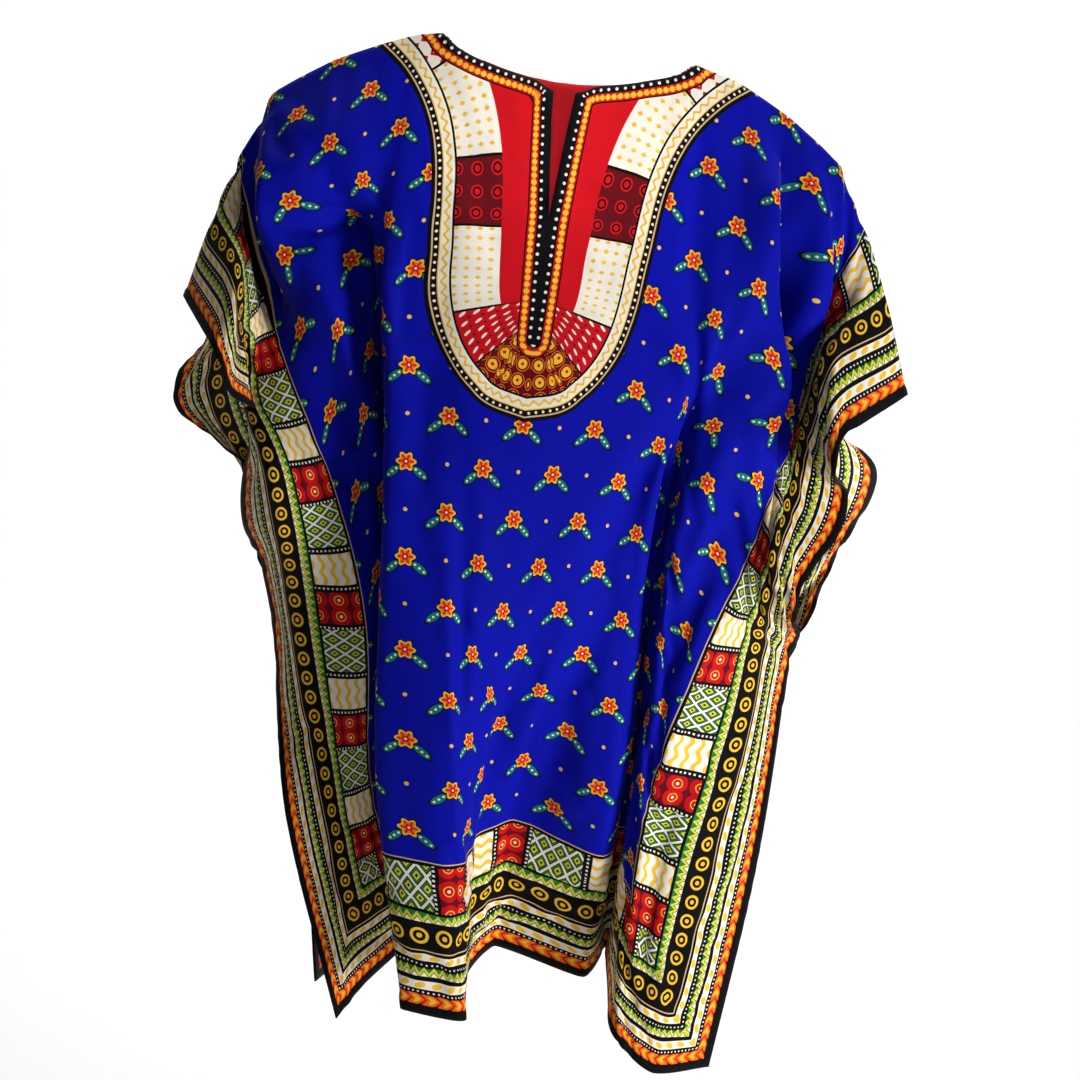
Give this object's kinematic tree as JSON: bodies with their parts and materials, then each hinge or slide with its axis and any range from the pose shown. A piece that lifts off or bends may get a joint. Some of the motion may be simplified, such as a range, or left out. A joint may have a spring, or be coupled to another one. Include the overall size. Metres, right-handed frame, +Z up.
{
  "type": "dashiki shirt",
  "caption": "Loose hip-length shirt cut from two wide rectangles of printed cotton, with short cape sleeves, a neck slit and open side slits, hanging from its shoulders.",
  "frame": {"origin": "midway between the two neck corners, on the shoulder line, where a hanger or shoulders hold the shirt", "axes": "+Z up, the front faces -Y, +X towards the wearer's left"},
  "size_m": [0.601, 0.2672, 0.8559],
  "materials": {
    "printed_cotton_front": "matte",
    "printed_cotton_back": "matte"
  },
  "bodies": {
    "root": {"front_panel": "printed_cotton_front", "back_panel": "printed_cotton_back"}
  },
  "joints": []
}
